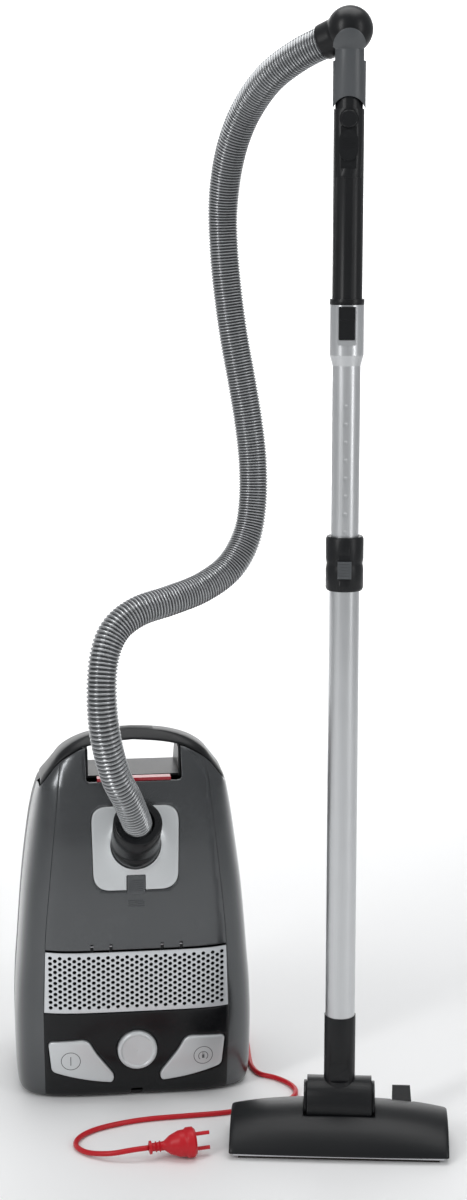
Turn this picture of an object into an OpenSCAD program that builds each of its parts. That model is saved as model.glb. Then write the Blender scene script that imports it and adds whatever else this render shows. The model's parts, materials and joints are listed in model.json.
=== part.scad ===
// Canister vacuum cleaner parked on its rear end, with hose, telescopic wand and floor nozzle.
// Millimetres. +Z up, front (the top side of the canister in use) faces -Y, origin on the floor under the canister.

/* [Canister] */
// Half width of the canister at its widest
body_half_w = 152; // [148:1:154]
// Wall thickness of the casing shells
wall = 3; // [2.4:0.2:3.2]
// Diameter of the holes in the exhaust grille
grille_hole = 5; // [4:0.2:5.4]
// Radius of the suction knob
knob_r = 25; // [22:0.5:26]
// Radius of the rear wheels with their tyres
wheel_r = 38; // [34:1:38]

/* [Wand] */
// Outer radius of the inner tube
inner_tube_r = 16.15; // [16:0.05:16.2]
// Outer radius of the outer tube
outer_tube_r = 17.75; // [17.6:0.05:18]
// Radius of the ball at the hose end
ball_r = 26; // [25:0.5:26]
// Position of the wand's axis, X
wand_x = 236; // [230:1:250]
// Position of the wand's axis, Y
wand_y = -241; // [-250:1:-235]
// Turn of the wand and nozzle about the vertical
wand_yaw = -10; // [-12:1:-8]

/* [Nozzle] */
// Half length of the floor nozzle
noz_half = 131; // [125:1:131]

/* [Hose and cord] */
// Outer radius of the corrugated hose
hose_r = 18.5; // [17:0.5:19]
// Radius of the mains cord
cord_r = 3.2; // [3:0.1:3.5]

/* [Hidden] */
$fn = 48;

// Half width, front depth, back depth and section centre against height
WT = [[0,143],[4,147.5],[10,149.5],[43,151.5],[88,152],[135,150.5],[179,147],[223,143.5],[268,139.4],[312,134],
  [357,127.7],[385,122.8],[413,116],[428,107],[439,99],[450,91],[459,79],[466,64],[470,50],[473,34],[475,14]];
FT = [[0,88],[4,93],[8,96],[20,100],[60,107],[117,112],[200,115],[260,115],[330,112],[380,106],[413,99],[440,89],
  [455,80],[465,70],[475,58]];
BT = [[0,86],[8,92],[30,95],[60,96],[300,96],[335,90],[365,68],[395,34],[415,4],[430,-14],[450,-27],[475,-40]];
YC = [[0,0],[330,0],[365,-8],[395,-26],[415,-42],[430,-49],[475,-50]];
XC = [[0,116],[120,117],[210,114],[300,106],[445,91],[480,88]];
ZS = [4,10,22,43,70,100,135,179,223,268,312,357,385,400,413,428,442,456,466];
TH = [0.00003,0.02,0.3,1.5,5,12,22,38,58,75];
TB = concat(TH, [90], [for (i=[9:-1:0]) 180-TH[i]]);
KS = [1,0.86,0.7,0.52,0.34,0.18,0.06,0.01,0.001,0.000002];
ZC = concat([for (z=ZS) if (z < 430) z], [436, 446]);
BEND = [[0,463],[30,461],[60,456],[80,447],[95,436],[107,421],[114,411],[118,405]];
TOP = [[0,475],[20,474],[40,472],[54,469],[66,465],[78,459],[91,449],[99,439],[107,428],[113,419],[116,412]];
bw = body_half_w/152;

function wz(z) = lookup(z, WT)*bw;
function sgp(v, e) = v < 0 ? -pow(-v, e) : pow(v, e);
function S(t, z, o=0) = let(w=wz(z)-o, yc=lookup(z,YC), yf=-lookup(z,FT)+o, yb=lookup(z,BT)-o, c=cos(t), s=sin(t))
  [w*sgp(c,2/4.5), s < 0 ? yc+(yf-yc)*pow(-s,2/4.5) : yc+(yb-yc)*pow(s,2/6), z];
function YF(x, z) = let(w=wz(z), yc=lookup(z,YC), yf=-lookup(z,FT), q=min(1,abs(x)/w))
  yc+(yf-yc)*pow(max(0,1-pow(q,4.5)),1/4.5);
function YB(x, z) = let(w=wz(z), yc=lookup(z,YC), yb=lookup(z,BT), q=min(1,abs(x)/w))
  yc+(yb-yc)*pow(max(0,1-pow(q,6)),1/6);
function flat(l) = [for (a=l) for (b=a) b];

// Closed sheet between an outer grid A and an inner grid B; rows go up and columns go right, seen from outside
module patch(A, B) {
  r=len(A); c=len(A[0]); o=r*c;
  F=concat(
    [for (i=[0:r-2], j=[0:c-2], k=[0,1]) k==0 ? [(i+1)*c+j+1,i*c+j+1,i*c+j] : [(i+1)*c+j,(i+1)*c+j+1,i*c+j]],
    [for (i=[0:r-2], j=[0:c-2], k=[0,1]) k==0 ? [o+i*c+j,o+i*c+j+1,o+(i+1)*c+j+1] : [o+i*c+j,o+(i+1)*c+j+1,o+(i+1)*c+j]],
    [for (j=[0:c-2], k=[0,1]) k==0 ? [j,j+1,o+j+1] : [j,o+j+1,o+j]],
    [for (j=[0:c-2], k=[0,1]) k==0 ? [(r-1)*c+j+1,(r-1)*c+j,o+(r-1)*c+j] : [(r-1)*c+j+1,o+(r-1)*c+j,o+(r-1)*c+j+1]],
    [for (i=[0:r-2], k=[0,1]) k==0 ? [(i+1)*c,i*c,o+i*c] : [(i+1)*c,o+i*c,o+(i+1)*c]],
    [for (i=[0:r-2], k=[0,1]) k==0 ? [i*c+c-1,(i+1)*c+c-1,o+(i+1)*c+c-1] : [i*c+c-1,o+(i+1)*c+c-1,o+i*c+c-1]]);
  polyhedron(concat(flat(A), flat(B)), F, convexity=8);
}
// Front plate between heights z0 and z1, up to the crease lines, out by p and in by q
US = [-1,-0.9,-0.75,-0.55,-0.3,0,0.3,0.55,0.75,0.9,1];
module front_plate(z0, z1, p=0, q=wall, g=0.4, us=US) {
  zs = concat([z0], [for (z=ZS) if (z>z0+2 && z<z1-2) z], [z1]);
  patch([for (z=zs) [for (u=us) let(x=u*(lookup(z,XC)-g)) [x, YF(x,z)-p, z]]],
        [for (z=zs) [for (u=us) let(x=u*(lookup(z,XC)-g)) [x, YF(x,z)+q, z]]]);
}
// Round the front: prism along Y of an outline in X and Z
module along_y(y0, y1) { translate([0,y1,0]) rotate([90,0,0]) linear_extrude(y1-y0) children(); }
module along_x(x0, x1) { translate([x0,0,0]) rotate([90,0,90]) linear_extrude(x1-x0) children(); }
module ycyl(x, z, r, y0, y1) { translate([x,y1,z]) rotate([90,0,0]) cylinder(r=r, h=y1-y0); }
module xcyl(y, z, r, x0, x1) { translate([x0,y,z]) rotate([0,90,0]) cylinder(r=r, h=x1-x0); }
module below_arc(g=0.4) { along_y(-140, 140) polygon(concat([[118,-10],[118,405-g]],
  [for (i=[len(BEND)-2:-1:0]) [BEND[i][0], BEND[i][1]-g]], [for (i=[1:len(BEND)-2]) [-BEND[i][0], BEND[i][1]-g]],
  [[-118,405-g],[-118,-10]])); }
module below_arc_wide(g=0.4) { along_y(-140, 140) polygon(concat([[160,-10],[160,397-g],[118,405-g]],
  [for (i=[len(BEND)-2:-1:0]) [BEND[i][0], BEND[i][1]-g]], [for (i=[1:len(BEND)-2]) [-BEND[i][0], BEND[i][1]-g]],
  [[-118,405-g],[-160,397-g],[-160,-10]])); }
module notch(z0=416.6, x=59.5) { along_y(-140, 140) polygon([[-x,z0],[x,z0],[x,480],[-x,480]]); }

module base_shell() color([0.10,0.10,0.11]) difference() {
  union() {
    intersection() {
      patch([for (z=ZS) [for (t=TB) S(t,z)]],
            [for (z=ZS) [for (t=TB) S(t,z,wall)]]);
      below_arc_wide();
    }
    translate([0,0,4]) linear_extrude(3) polygon([for (t=[-179:8:181]) let(p=S(t,6,4)) [p[0],p[1]+(p[1] < -40 ? 0.9 : 0)]]);
  }
  notch(414);
  for (s=[-1,1]) {
    xcyl(78, 75, 43.2, s > 0 ? 106 : -160, s > 0 ? 160 : -106);
    for (z=[40,250]) ycyl(s*60, z, 3.6, 80, 110);
  }
  ycyl(0, 300, 4.05, 80, 110);
  ycyl(80, 38, 6.1, 80, 110);
}
module side_cover(s) color([0.33,0.35,0.37]) difference() {
  intersection() {
    mirror([s < 0 ? 1 : 0,0,0]) patch(
      [for (z=ZC) let(tc=acos(pow(lookup(z,XC)/wz(z),2.25))) [for (k=KS) S(-tc*k,z)]],
      [for (z=ZC) let(tc=acos(pow(min(0.999,lookup(z,XC)/(wz(z)-wall)),2.25))) [for (k=KS) S(-tc*k,z,wall)]]);
    below_arc_wide();
  }
  xcyl(78, 75, 43.2, s > 0 ? 106 : -160, s > 0 ? 160 : -106);
}
module left_side_cover() side_cover(-1);
module right_side_cover() side_cover(1);

module pedal_2d(g=0) { offset(delta=g) polygon([[112,82],[67,85],[60,81],[52,66],[40,50],[31,38],[29,31],[32,24],[55,27],[82,33],[108,41]]); }
module control_panel() color([0.05,0.05,0.055]) difference() {
  front_plate(4, 121);
  along_y(-140,-60) pedal_2d(0.7);
  mirror([1,0,0]) along_y(-140,-60) pedal_2d(0.7);
  ycyl(0, 70, knob_r+0.6, -140, -60);
  translate([-7.5,-140,0]) cube([15,80,13]);
}
module pedal(s) intersection() {
  mirror([s < 0 ? 1 : 0,0,0]) along_y(-140,-60) pedal_2d(0);
  patch([for (z=[18,30,43,56,70,92]) [for (x=[-118,-100,-80,-60,-40,-20,0,20,40,60,80,100,118]) [x, YF(x,z)-3, z]]],
        [for (z=[18,30,43,56,70,92]) [for (x=[-118,-100,-80,-60,-40,-20,0,20,40,60,80,100,118]) [x, YF(x,z)+8, z]]]);
}
module power_pedal() color([0.78,0.80,0.82]) pedal(-1);
module rewind_pedal() color([0.78,0.80,0.82]) pedal(1);
module suction_knob() color([0.80,0.82,0.84]) {
  translate([0,YF(0,70),70]) rotate([90,0,0]) difference() {
    union() {
      rotate_extrude() polygon([[0,-10],[knob_r,-10],[knob_r,5],[knob_r-2,8],[knob_r-4.5,8],[knob_r-5.5,6.5],[0,6.5]]);
      translate([0,0,-19]) cylinder(r=3, h=10);
    }
  }
}
module exhaust_grille() color([0.82,0.83,0.84]) intersection() {
  along_y(-140,-60) difference() {
    polygon([[-116.3,121.6],[116.3,121.6],[113.8,201.4],[-113.8,201.4]]);
    for (i=[-9:9], j=[-4.5:1:4.5]) translate([i*12, 161.8+j*7.3]) circle(d=grille_hole);
    for (i=[-9:8], j=[-4:1:4]) translate([i*12+6, 161.8+j*7.3]) circle(d=grille_hole);
  }
  translate([0,0,161.8]) rotate([2.07,0,0]) translate([0,0,-46]) linear_extrude(92)
    polygon(concat([for (x=[-120,-100,-75,-45,0,45,75,100,120]) [x, YF(x,161.8)]],
                   [for (x=[120,100,75,45,0,-45,-75,-100,-120]) [x, YF(x,161.8)+2]]));
}
module exhaust_filter() color([0.25,0.26,0.27]) translate([-105,-101,126]) cube([210,12,68]);
function zz(x,v) = lookup(abs(x),BEND)+0.4+(lookup(abs(x),TOP)-0.6-lookup(abs(x),BEND))*v;
UB = [for (k=[-20:20]) k/20*112];
module front_bumper() color([0.11,0.11,0.12])
  patch([for (v=[0,0.25,0.5,0.7,0.85,0.95,1]) [for (x=UB) [x, YF(x,zz(x,v))-0.25, zz(x,v)]]],
        [for (v=[0,0.25,0.5,0.7,0.85,0.95,1]) [for (x=UB) [x, YB(x,zz(x,v))+0.25, zz(x,v)]]]);
module handle_liner() color([0.04,0.04,0.045]) {
  translate([-59,-80.6,418.2]) cube([118,76.6,3]);
  for (s=[-1,1]) along_x(s > 0 ? 56.4 : -59, s > 0 ? 59 : -56.4)
    polygon([[-84,418.3],[-83,440],[-79,454],[-30,454],[-20,440],[-4,418.3]]);
}
module bulkhead() color([0.16,0.16,0.17]) {
  difference() {
    translate([0,0,194.5]) linear_extrude(3) polygon([for (t=[-174:12:174]) let(p=S(t,196,4.5)) [p[0],p[1]]]);
    translate([-60,-55,190]) cube([120,110,12]);
  }
  for (x=[-57.5,-33.5,30.5,54.5]) translate([x,-111.2,195]) difference() {
    cube([3,14,15.5]);
    translate([-1,1.3,13.5]) rotate([0,90,0]) cylinder(r=1.5, h=5);
  }
}
module lid_pins() color([0.6,0.6,0.62]) for (x=[-57.5,30.5]) xcyl(-109.9, 208.5, 1.5, x, x+27);
module park_feet() color([0.08,0.08,0.08]) {
  translate([-30,-25,0]) cube([60,50,4]);
  for (x=[-1,1], y=[-1,1]) translate([x*105,y*62,0]) cylinder(r=11, h=4);
}
module casing_screws() color([0.5,0.5,0.52]) for (x=[-60,60], z=[40,250]) difference() {
  ycyl(x, z, 3.5, 78, 95.6);
  translate([x-0.5,94.6,z-2.4]) cube([1,2,4.8]);
  translate([x-2.4,94.6,z-0.5]) cube([4.8,2,1]);
}
module wheel_wells() color([0.07,0.07,0.075]) for (s=[-1,1]) mirror([s < 0 ? 1 : 0,0,0]) intersection() {
  difference() { xcyl(78, 75, 42.8, 107, 146); xcyl(78, 75, 41, 109.5, 150); xcyl(78, 75, 4, 90, 150); }
  translate([100,20,20]) cube([46,73,110]);
}
module wheel_axles() color([0.7,0.7,0.72]) for (s=[-1,1]) xcyl(78, 75, 4, s > 0 ? 98 : -143, s > 0 ? 143 : -98);
module wheel(s) mirror([s < 0 ? 1 : 0,0,0]) translate([114,78,75]) rotate([0,90,0]) color([0.12,0.12,0.13])
  rotate_extrude() polygon([[4.06,0],[14,0],[14,4],[30,4],[30,0],[wheel_r-3,0],[wheel_r,3],[wheel_r,23],[wheel_r-3,26],[30,26],[29,24],[10,22],[8,25],[4.06,25]]);
module left_wheel() wheel(-1);
module right_wheel() wheel(1);
module castor_fork() color([0.14,0.14,0.15]) {
  ycyl(0, 300, 4, 84, 98);
  ycyl(0, 300, 15, 96.4, 99.5);
  for (s=[-1,1]) difference() {
    translate([s*8.5-1.5,99,283]) cube([3,12.5,21]);
    xcyl(108.3, 290, 2, -20, 20);
  }
  xcyl(108.3, 290, 2, -10.5, 10.5);
}
module castor_wheel() color([0.2,0.2,0.21]) translate([-6,108.3,290]) rotate([0,90,0])
  rotate_extrude() polygon([[2.05,0],[6.6,0],[7.7,1.5],[7.7,10.5],[6.6,12],[2.05,12]]);

module motor_can() color([0.6,0.61,0.63]) translate([-50,10,0]) rotate_extrude()
  polygon([[20,190],[56,190],[56,96],[30,96],[30,98],[54,98],[54,188],[20,188]]);
module motor_core() color([0.75,0.45,0.25]) translate([-50,10,0]) rotate_extrude()
  polygon([[4.06,102],[40,102],[44,106],[44,152],[40,156],[4.06,156]]);
module motor_mounts() color([0.1,0.1,0.1]) translate([-50,10,0]) for (z=[104,176]) translate([0,0,z])
  rotate_extrude() polygon([[56,0],[62,0],[62,9],[56,9]]);
module impeller() color([0.7,0.72,0.74]) translate([-50,10,0]) {
  translate([0,0,98]) cylinder(r=4, h=72);
  translate([0,0,164]) cylinder(r=50, h=2);
  for (a=[0:45:315]) rotate(a) translate([8,-1,165]) cube([40,2,18]);
  translate([0,0,166]) cylinder(r=9, h=17);
}
module motor_filter() color([0.85,0.85,0.82]) translate([-60,-55,198]) cube([120,110,9]);
module cord_reel() color([0.2,0.2,0.22]) translate([78,14,0]) rotate_extrude()
  polygon([[6.06,124],[58,124],[58,126.5],[22,126.5],[22,165.5],[58,165.5],[58,168],[6.06,168]]);
module wound_cord() color([0.75,0.08,0.10]) translate([78,14,0]) rotate_extrude()
  polygon([[22.1,126.8],[50,126.8],[53,132],[53,160],[50,165.2],[22.1,165.2]]);
module reel_spindle() color([0.6,0.6,0.62]) translate([78,14,120]) cylinder(r=6, h=52);
module circuit_board() color([0.1,0.35,0.2]) difference() {
  union() { translate([-46,-84,44]) cube([92,1.6,52]); ycyl(0, 70, 8, -92, -83); translate([-38,-82.4,50]) cube([22,14,18]); }
  ycyl(0, 70, 3.1, -96, -80);
}
module dust_bag() color([0.86,0.84,0.78]) hull() for (x=[-68,68], y=[-52,48], z=[238,318]) translate([x,y,z]) sphere(r=26, $fn=16);
module bag_frame() color([0.45,0.55,0.6]) difference() {
  translate([-58,-84,282]) cube([116,4,110]);
  ycyl(0, 340, 27, -90, -76);
}

module plate_2d(g=0) { offset(r=g) hull() { for (s=[-1,1]) { translate([s*(36),369]) circle(r=18); translate([s*35,299]) circle(r=17); } } }
module lid() color([0.36,0.38,0.40]) difference() {
  union() {
    intersection() { front_plate(204.6, 462); below_arc(); }
    for (x=[-54,34]) xcyl(-109.9, 208.5, 3.2, x, x+20);
    for (x=[-50,50]) translate([x-1,-113,212]) cube([2,10,60]);
    for (i=[0:3]) translate([-10,YF(0,265)-0.6,260.2+i*2.4]) cube([20,1.2,1.3]);
  }
  notch();
  along_y(-140,-60) plate_2d(0.5);
  for (s=[-1,1]) translate([s*114-0.9,-125,204]) cube([1.8,50,13]);
  translate([-11.5,-140,276.4]) cube([23,80,12]);
  for (x=[-57.9,-33.9,30.1,54.1]) translate([x,-140,200]) cube([3.8,60,12.5]);
  for (x=[-60,28]) xcyl(-109.9, 208.5, 1.55, x, x+32);
}
module inlet_plate() color([0.80,0.81,0.82]) difference() {
  union() {
    intersection() { along_y(-140,-60) plate_2d(0); front_plate(270, 400, 0.4, wall, 0, [-1,-0.7,-0.5,-0.4,-0.3,-0.2,-0.1,0,0.1,0.2,0.3,0.4,0.5,0.7,1]); }
    translate([0,-106.5,342]) rotate([90,0,0]) difference() { cylinder(r=35.5, h=8); }
    ycyl(0, 340, 33, -108, -90);
    for (s=[-1,1]) translate([s*40-6,-110,362]) cube([12,12,4]);
  }
  ycyl(0, 340, 26, -140, -70);
  translate([0,-108,342]) rotate([50,0,0]) cylinder(r=33.6, h=40);
  translate([0,-108,342]) sphere(r=33);
  translate([-11.5,-140,276]) cube([23,80,25.5]);
}
module lid_latch() color([0.72,0.04,0.08]) {
  translate([-46,YF(0,419)-0.2,417]) cube([92,13,4.2]);
  translate([-30,-89,400]) cube([60,3,17.1]);
}
module hose_release() color([0.27,0.29,0.30]) difference() {
  translate([-11,-116,277]) cube([22,12,24]);
  for (i=[0:5]) translate([-9,-116.6,281+i*2.6]) cube([18,1,1.2]);
}
// Swivel cuff: short elbow seated in the lid, its socket points up and forward
module cuff_frame() { translate([0,-108,342]) rotate([50,0,0]) children(); }
module hose_cuff() color([0.05,0.05,0.055]) cuff_frame() difference() {
  union() {
    intersection() { sphere(r=32.4); translate([0,0,-12]) cylinder(r=40, h=40); }
    rotate_extrude() polygon([[0,0],[31,0],[30,30],[30,58],[28.4,60],[0,60]]);
  }
  translate([0,0,34]) cylinder(r=20.2, h=40);
  translate([0,0,-20]) cylinder(r=16, h=70);
}

// Smooth curve through round points, and a tube along it
function cr(a,b,c,d,s) = 0.5*((2*b)+(c-a)*s+(2*a-5*b+4*c-d)*s*s+(3*b-a-3*c+d)*s*s*s);
function curve(P, n) = concat([for (i=[0:len(P)-2], k=[0:n-1]) cr(P[max(0,i-1)],P[i],P[i+1],P[min(len(P)-1,i+2)],k/n)], [P[len(P)-1]]);
function unit(v) = v/norm(v);
module tube_along(P, r, m, ref) {
  n=len(P);
  T=[for (i=[0:n-1]) unit(P[min(n-1,i+1)]-P[max(0,i-1)])];
  pts=[for (i=[0:n-1]) let(u=unit(cross(T[i],ref)), v=cross(u,T[i])) for (k=[0:m-1]) P[i]+r*(cos(360*k/m)*u+sin(360*k/m)*v)];
  polyhedron(concat(pts,[P[0],P[n-1]]), concat(
    [for (i=[0:n-2], k=[0:m-1], f=[0,1]) let(a=i*m+k, b=i*m+(k+1)%m) f==0 ? [a,b,b+m] : [a,b+m,a+m]],
    [for (k=[0:m-1]) [n*m,(k+1)%m,k]], [for (k=[0:m-1]) [n*m+1,(n-1)*m+k,(n-1)*m+(k+1)%m]]), convexity=10);
}
HOSE = [[0,-137,366],[0,-148,375.3],[-4,-163,389],[-15,-187,420],[-30,-207,455],[-42,-220,505],[-46,-222,555],[-42,-214,600],[-28,-201,630],[0,-186,648],
  [40,-168,657],[80,-148,668],[115,-128,688],[137,-113,720],[146,-105,760],[147,-101,810],[142,-99,860],[134,-97,910],
  [125,-96,960],[118,-95,1010],[113,-96,1060],[111,-99,1110],[114,-110,1155],[122,-126,1195],[136,-146,1230],
  [157,-176,1261],[187,-204,1284],[212,-223,1296]];
module hose() color([0.62,0.64,0.66]) tube_along(curve(HOSE,2), hose_r, 12, [0,1,0]);

module at_wand() translate([wand_x,wand_y,0]) rotate([0,0,wand_yaw]) children();
module elbow_ball() color([0.08,0.08,0.09]) at_wand() difference() {
  union() { translate([0,0,1308]) sphere(r=ball_r); translate([0,0,1308]) rotate([0,0,-wand_yaw]) rotate([0,-111.5,-36.7]) cylinder(r1=20.6, r2=20.2, h=34); }
  translate([0,0,1270]) cylinder(r=15, h=22);
  translate([0,0,1308]) rotate([0,0,-wand_yaw]) rotate([0,-111.5,-36.7]) translate([0,0,30]) cylinder(r=18.7, h=10);
}
module handle_cover() color([0.30,0.32,0.33]) at_wand() {
  difference() {
    translate([0,0,1222]) cylinder(r=18.5, h=67);
    translate([0,0,1220]) cylinder(r=15.8, h=80);
    translate([0,0,1308]) sphere(r=28);
    translate([-30,-9,1274]) cube([60,80,60]);
    ycyl(0, 1216, 19.4, -40, 40);
  }
  intersection() {
    difference() { translate([0,0,1308]) sphere(r=28.9); translate([0,0,1308]) sphere(r=26.4); }
    along_y(-40, -11) union() { translate([-18.2,1280.5]) square([36.4,8.7]); translate([0,1289]) circle(r=18.2); }
  }
}
module handle_grip() color([0.10,0.105,0.11]) at_wand() difference() {
  union() {
    translate([0,0,1011]) cylinder(r=17.2, h=211);
    translate([0,0,1222]) cylinder(r=15.5, h=57.4);
    translate([0,0,1007]) cylinder(r=19.7, h=6);
    translate([0,0,990]) cylinder(r=15, h=20);
    intersection() { translate([0,-2,1184.5]) cube([29,34,75], center=true); translate([0,0,1140]) cylinder(r=18, h=100); }
  }
  translate([0,0,980]) cylinder(r=13, h=310);
  translate([-12.8,-25,1157]) cube([25.6,9.3,46]);
  translate([0,-13,1211]) rotate([90,0,0]) cylinder(r=10.4, h=12);
}
module regulator_slide() color([0.13,0.14,0.15]) at_wand() {
  hull() for (z=[1176,1188.5]) translate([0,-15.9,z]) rotate([90,0,0]) cylinder(r=10.6, h=2.8);
  for (z=[1180,1184,1188]) translate([-6,-19.4,z]) cube([12,1.2,1.4]);
}
module regulator_cap() color([0.06,0.06,0.065]) at_wand() translate([0,-13.2,1211]) rotate([90,0,0])
  rotate_extrude() polygon([[0,0],[10,0],[10,5],[8.6,6.4],[0,6.4]]);
module wand_latch() color([0.16,0.17,0.18]) at_wand() {
  translate([-9,-24,968]) cube([18,3.4,37]);
  translate([-9,-25.6,990]) cube([18,2,15]);
}
module inner_tube() color([0.78,0.80,0.82]) at_wand() {
  difference() {
    translate([0,0,560]) cylinder(r=inner_tube_r, h=430);
    translate([0,0,550]) cylinder(r=inner_tube_r-1, h=460);
    for (k=[0:7]) translate([0,-inner_tube_r-1.6,748+k*20.6]) rotate([-90,0,0]) cylinder(r=3.2, h=2.1);
  }
  color([0.10,0.105,0.11]) difference() {
    union() {
      translate([0,0,950]) cylinder(r=19.5, h=56.6);
      translate([0,0,938]) cylinder(r1=inner_tube_r+0.2, r2=19.5, h=12.1);
      translate([-10.6,-22,962]) cube([21.2,10,43]);
    }
    translate([0,0,930]) cylinder(r=inner_tube_r-0.1, h=60);
    translate([0,0,930]) cylinder(r=15.1, h=80);
    translate([-9.4,-30,967.4]) cube([18.8,11.1,45]);
  }
}
module telescope_sleeve() color([0.09,0.095,0.10]) at_wand() difference() {
  rotate_extrude() polygon([[outer_tube_r,679],[20.6,679],[22,682],[22,704],[21,710],[22,716],[22,739],[20.6,742],[inner_tube_r+0.08,742],
    [inner_tube_r+0.08,734],[outer_tube_r,734]]);
  translate([-8.5,-30,694]) cube([17,9,28]);
}
module sleeve_release() color([0.17,0.18,0.19]) at_wand() difference() {
  translate([-8,-24,695]) cube([16,2.8,20]);
  for (k=[0:4]) translate([-7,-24.5,698+k*3.4]) cube([14,1,1.2]);
}
module outer_tube() color([0.78,0.80,0.82]) at_wand() difference() {
  translate([0,0,158]) cylinder(r=outer_tube_r, h=575.9);
  translate([0,0,150]) cylinder(r=inner_tube_r+0.08, h=600);
  translate([0,0,150]) cylinder(r=16.75, h=400);
}
NZ = 46; // pivot height of the nozzle joint
module nozzle_neck() color([0.14,0.145,0.15]) at_wand() difference() {
  union() {
    translate([0,0,NZ+12]) cylinder(r=18.8, h=158-NZ-12.2);
    translate([0,0,157]) cylinder(r=16.65, h=34);
    xcyl(0, NZ, 31, -39, 39);
  }
  translate([0,0,NZ]) cylinder(r=14, h=160);
  translate([0,0,NZ+45]) rotate([90,0,0]) translate([0,0,14.5]) linear_extrude(10) intersection() { translate([0,-2]) circle(r=15); translate([-13,-14]) square([26,30]); }
  xcyl(0, NZ, 26, -26, 26);
  rotate([0,0,0]) translate([-24,-26,NZ-40]) cube([48,52,24]);
  xcyl(0, NZ, 4.05, -60, 60);
}
module pivot_pins() color([0.6,0.6,0.62]) at_wand() {
  for (s=[-1,1]) xcyl(0, NZ, 4, s > 0 ? 28 : -42.8, s > 0 ? 42.8 : -28);
  xcyl(20, 33.5, 1.5, 60.6, 92.4);
}
// Nozzle section from the rear foot over the ridge to the front edge, [y, z]
NP = [[36,7.5],[37,14],[36,26],[31,36],[20,43],[4,46.5],[-14,46.5],[-32,42],[-48,34],[-60,25],[-69,16],[-73,10],[-73,7.5]];
function nsec(x, o, drop=0) = let(q=abs(x)/noz_half, h=1-0.26*pow(q,2.5), b=1-0.24*pow(q,3), f=1-0.03*q*q)
  [for (i=[0:len(NP)-1]) let(y=NP[i][0], z=NP[i][1]) [x*(1-o/noz_half), (y > 0 ? y*b : y*f)*(1-o/42), z < 8 ? 7.5-drop : 7.5+(z-7.5)*h*(1-o/38)]];
module nozzle_loft(o, drop) {
  n=len(NP);
  polyhedron([for (x=[-1:0.125:1]) for (p=nsec(x*noz_half,o,drop)) p], concat(
    [for (i=[0:15], k=[0:n-1], f=[0,1]) let(a=i*n+k, b=i*n+(k+1)%n) f==0 ? [b+n,b,a] : [a+n,b+n,a]],
    [[for (k=[0:n-1]) k]], [[for (k=[n-1:-1:0]) 16*n+k]]), convexity=6);
}
module nozzle_housing() color([0.09,0.095,0.10]) at_wand() difference() {
  union() {
    difference() { nozzle_loft(0, 0); nozzle_loft(2.5, 5); }
    for (x=[60.4,90.4]) translate([x,15,28]) cube([2.2,10,10]);
  }
  xcyl(20, 33.5, 1.5, 55, 96);
  xcyl(0, NZ, 34, -43.3, 43.3);
  for (s=[-1,1]) translate([s*95-8,18,0]) cube([16,30,17]);
  translate([63,14,20]) cube([27,40,40]);
}
module nozzle_cradle() color([0.15,0.16,0.17]) at_wand() difference() {
  union() {
    difference() { xcyl(0, NZ, 33.6, -42.9, 42.9); xcyl(0, NZ, 31.4, -50, 50); translate([-60,-60,39]) cube([120,120,60]); }
    for (s=[-1,1]) intersection() { xcyl(0, NZ, 33.6, s > 0 ? 39.4 : -42.9, s > 0 ? 42.9 : -39.4);
      union() { translate([-60,-40,0]) cube([120,80,39]); xcyl(0, NZ, 25, -60, 60); } }
  }
  translate([-25,-40,0]) cube([50,80,18]);
  xcyl(0, NZ, 4, -50, 50);
}
module nozzle_sole() color([0.5,0.52,0.54]) at_wand() difference() {
  translate([-126,-69,4.6]) cube([252,95,2.6]);
  translate([-100,-38,0]) cube([200,26,12]);
  translate([-122,-66,0]) cube([244,9,12]);
  for (x=[-122,4]) translate([x,13.5,0]) cube([118,7.1,12]);
  for (s=[-1,1]) { translate([s*112-6,-55,0]) cube([12,20,12]); }
  for (s=[-1,1]) { translate([s*95-8,20.2,0]) cube([16,16,12]); }
}
module brush_strips() color([0.13,0.11,0.10]) at_wand() { translate([-120,-65,0.4]) cube([240,7,6.4]); for (x=[-120,6]) translate([x,14.4,0.4]) cube([114,5.6,6.4]); }
module nozzle_pedal() color([0.12,0.125,0.13]) at_wand() {
  difference() { hull() { xcyl(20, 33.5, 3.2, 64.5, 88.5); translate([65.5,47,44]) cube([22,2,3]); } xcyl(20, 33.5, 1.55, 60, 95); }
}
module front_rollers() color([0.3,0.3,0.31]) at_wand() {
  for (s=[-1,1]) xcyl(-45, 9, 9, s*112-4.5, s*112+4.5);
  xcyl(-45, 9, 1.5, -118, 118);
}
module rear_rollers() color([0.3,0.3,0.31]) at_wand() {
  for (s=[-1,1]) xcyl(28.3, 7.5, 7.5, s*95-6, s*95+6);
  xcyl(28.3, 7.5, 1.5, -103, 103);
}

CORD = [[80,118.2,38],[80,127,38],[80,138,32],[81,149,22],[84,159,10.5],[90,168,4.4],[101,175,3.4],[116,177,3.4],[132,171,3.4],[146,158,3.4],
  [155,140,3.4],[160,115,3.4],[162,80,3.4],[160,40,3.4],[157,0,3.4],[157,-28,3.4],[164,-52,3.4],[182,-66,3.4],[197,-86,3.4],[203,-108,3.4],
  [197,-128,3.4],[182,-142,3.4],[160,-151,3.4],[130,-159,3.4],[98,-165,3.4],[50,-168,3.4],[10,-171,3.4],[-25,-179,3.4],[-58,-193,3.4],
  [-79,-213,3.4],[-84,-236,3.4],[-71,-258,4.6],[-45,-274,9.5],[-18,-278.3,14.7],[0,-277,15.6]];
module cord() color([0.75,0.08,0.10]) tube_along(curve(CORD,2), cord_r, 8, [0.05,0.02,1]);
module strain_relief() color([0.70,0.08,0.10]) translate([80,0,38]) rotate([-90,0,0]) { translate([0,0,90]) cylinder(r=6, h=6); translate([0,0,96]) cylinder(r=9, h=2.5);
  translate([0,0,98]) cylinder(r1=6, r2=4.2, h=20); }
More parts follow.
